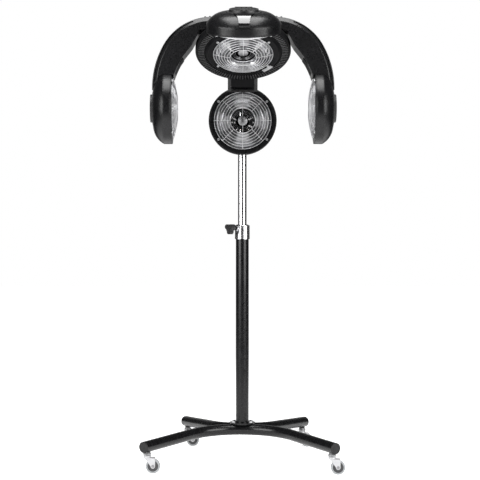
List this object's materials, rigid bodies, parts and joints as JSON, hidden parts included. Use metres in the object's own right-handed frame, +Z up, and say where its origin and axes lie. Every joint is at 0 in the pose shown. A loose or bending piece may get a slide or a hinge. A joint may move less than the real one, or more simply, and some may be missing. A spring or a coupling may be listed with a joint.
{
  "type": "hair color processor",
  "caption": "Free-standing salon heater on a castored cross base: a sliding chrome mast carries a hub with ribbed arms and round lamp pods around the sitter's head.",
  "frame": {"origin": "on the floor, under the axis of the pole", "axes": "+Z up along the pole, -Y towards the sitter's side of the lamps, +X to the sitter-facing viewer's right"},
  "size_m": [0.717, 1.0613, 1.593],
  "materials": {
    "black_enamel": "gloss",
    "bright_chrome": "polished",
    "zinc_plate": "satin",
    "gloss_black": "gloss",
    "matte_black": "matte",
    "lamp_mirror": "polished",
    "guard_wire": "satin",
    "heater_ceramic": "matte",
    "wheel_tread": "matte",
    "panel_grey": "satin"
  },
  "bodies": {
    "base": {"base_frame": "black_enamel", "base_bolts": "bright_chrome", "leg_end_caps": "matte_black", "pole_tube": "black_enamel", "pole_collar": "bright_chrome", "collar_bush": "matte_black"},
    "clamp_knob": {"clamp_knob": "matte_black"},
    "caster_front_left": {"caster_fork_front_left": "zinc_plate"},
    "wheel_front_left": {"caster_wheel_front_left": "wheel_tread"},
    "caster_front_right": {"caster_fork_front_right": "zinc_plate"},
    "wheel_front_right": {"caster_wheel_front_right": "wheel_tread"},
    "caster_rear_left": {"caster_fork_rear_left": "zinc_plate"},
    "wheel_rear_left": {"caster_wheel_rear_left": "wheel_tread"},
    "caster_rear_right": {"caster_fork_rear_right": "zinc_plate"},
    "wheel_rear_right": {"caster_wheel_rear_right": "wheel_tread"},
    "mast": {"mast_tube": "bright_chrome"},
    "yoke": {"yoke": "black_enamel", "control_box": "gloss_black", "control_panel": "panel_grey", "mains_inlet": "matte_black"},
    "tilt_knob": {"tilt_knob": "matte_black"},
    "timer_knob": {"timer_knob": "matte_black"},
    "rocker_switch": {"rocker_switch": "matte_black"},
    "head": {"hub_cover": "gloss_black", "hub_underside": "gloss_black", "hinge_pins": "zinc_plate", "rear_arm_shell": "gloss_black", "rear_arm_cover": "matte_black", "tilt_lug": "gloss_black", "rear_pod_housing": "gloss_black", "rear_vent_cover": "matte_black", "head_reflectors": "lamp_mirror", "head_guards": "guard_wire", "head_heaters": "heater_ceramic"},
    "left_arm": {"left_arm_shell": "gloss_black", "left_arm_cover": "matte_black", "left_pod_housing": "gloss_black", "left_vent_cover": "matte_black", "left_reflector": "lamp_mirror", "left_guard": "guard_wire", "left_heater": "heater_ceramic"},
    "right_arm": {"right_arm_shell": "gloss_black", "right_arm_cover": "matte_black", "right_pod_housing": "gloss_black", "right_vent_cover": "matte_black", "right_reflector": "lamp_mirror", "right_guard": "guard_wire", "right_heater": "heater_ceramic"},
    "front_pod": {"front_pod_link": "gloss_black", "front_pod_housing": "gloss_black", "front_vent_cover": "matte_black", "front_grip": "gloss_black", "front_reflector": "lamp_mirror", "front_guard": "guard_wire", "front_heater": "heater_ceramic"},
    "hub_fan": {"hub_fan": "matte_black"},
    "rear_fan": {"rear_fan": "matte_black"},
    "left_fan": {"left_fan": "matte_black"},
    "right_fan": {"right_fan": "matte_black"},
    "front_fan": {"front_fan": "matte_black"}
  },
  "joints": [
    {"name": "mast_slide", "type": "slide", "parent": "base", "child": "mast", "axis": [0, 0, 1], "range_m": [-0.25, 0.1]},
    {"name": "head_swivel", "type": "hinge", "parent": "mast", "child": "yoke", "pos_m": [0, 0, 1.345], "axis": [0, 0, 1], "continuous": true},
    {"name": "head_tilt", "type": "hinge", "parent": "yoke", "child": "head", "pos_m": [0, 0, 1.39], "axis": [1, 0, 0], "range_deg": [-25, 12]},
    {"name": "left_arm_swing", "type": "hinge", "parent": "head", "child": "left_arm", "pos_m": [-0.10905, -0.35, 1.547], "axis": [0, 1, 0], "range_deg": [0, 20]},
    {"name": "right_arm_swing", "type": "hinge", "parent": "head", "child": "right_arm", "pos_m": [0.10905, -0.35, 1.547], "axis": [0, -1, 0], "range_deg": [0, 20]},
    {"name": "front_pod_flip", "type": "hinge", "parent": "head", "child": "front_pod", "pos_m": [0, -0.455, 1.575], "axis": [-1, 0, 0], "range_deg": [0, 60]},
    {"name": "clamp_knob_turn", "type": "hinge", "parent": "base", "child": "clamp_knob", "pos_m": [-0.03822, -0.03526, 0.857], "axis": [-0.7349, -0.6782, 0], "range_deg": [-90, 0]},
    {"name": "tilt_knob_turn", "type": "hinge", "parent": "yoke", "child": "tilt_knob", "pos_m": [0.05, 0, 1.39], "axis": [1, 0, 0], "range_deg": [-90, 0]},
    {"name": "timer_turn", "type": "hinge", "parent": "yoke", "child": "timer_knob", "pos_m": [-0.024, 0.0823, 1.3351], "axis": [0, -1, 0], "range_deg": [0, 300]},
    {"name": "rocker_press", "type": "hinge", "parent": "yoke", "child": "rocker_switch", "pos_m": [0.024, 0.076, 1.3351], "axis": [1, 0, 0], "range_deg": [-16, 0]},
    {"name": "front_left_caster_swivel", "type": "hinge", "parent": "base", "child": "caster_front_left", "pos_m": [-0.33428, -0.29612, 0.09], "axis": [0, 0, 1], "continuous": true},
    {"name": "front_left_wheel_roll", "type": "hinge", "parent": "caster_front_left", "child": "wheel_front_left", "pos_m": [-0.31428, -0.29612, 0.025], "axis": [0, 1, 0], "continuous": true},
    {"name": "front_right_caster_swivel", "type": "hinge", "parent": "base", "child": "caster_front_right", "pos_m": [0.30946, -0.32198, 0.09], "axis": [0, 0, 1], "continuous": true},
    {"name": "front_right_wheel_roll", "type": "hinge", "parent": "caster_front_right", "child": "wheel_front_right", "pos_m": [0.32946, -0.32198, 0.025], "axis": [0, 1, 0], "continuous": true},
    {"name": "rear_left_caster_swivel", "type": "hinge", "parent": "base", "child": "caster_rear_left", "pos_m": [-0.21329, 0.32188, 0.09], "axis": [0, 0, 1], "continuous": true},
    {"name": "rear_left_wheel_roll", "type": "hinge", "parent": "caster_rear_left", "child": "wheel_rear_left", "pos_m": [-0.19329, 0.32188, 0.025], "axis": [0, 1, 0], "continuous": true},
    {"name": "rear_right_caster_swivel", "type": "hinge", "parent": "base", "child": "caster_rear_right", "pos_m": [0.23842, 0.30374, 0.09], "axis": [0, 0, 1], "continuous": true},
    {"name": "rear_right_wheel_roll", "type": "hinge", "parent": "caster_rear_right", "child": "wheel_rear_right", "pos_m": [0.25842, 0.30374, 0.025], "axis": [0, 1, 0], "continuous": true},
    {"name": "hub_fan_spin", "type": "hinge", "parent": "head", "child": "hub_fan", "pos_m": [0, -0.35, 1.455], "axis": [0, 0.4695, 0.8829], "continuous": true},
    {"name": "rear_fan_spin", "type": "hinge", "parent": "head", "child": "rear_fan", "pos_m": [0, -0.155, 1.244], "axis": [0, 1, 0], "continuous": true},
    {"name": "left_fan_spin", "type": "hinge", "parent": "left_arm", "child": "left_fan", "pos_m": [-0.244, -0.35, 1.267], "axis": [-1, 0, 0], "continuous": true},
    {"name": "right_fan_spin", "type": "hinge", "parent": "right_arm", "child": "right_fan", "pos_m": [0.244, -0.35, 1.267], "axis": [1, 0, 0], "continuous": true},
    {"name": "front_fan_spin", "type": "hinge", "parent": "front_pod", "child": "front_fan", "pos_m": [0, -0.585, 1.492], "axis": [0, -0.309, 0.9511], "continuous": true}
  ]
}
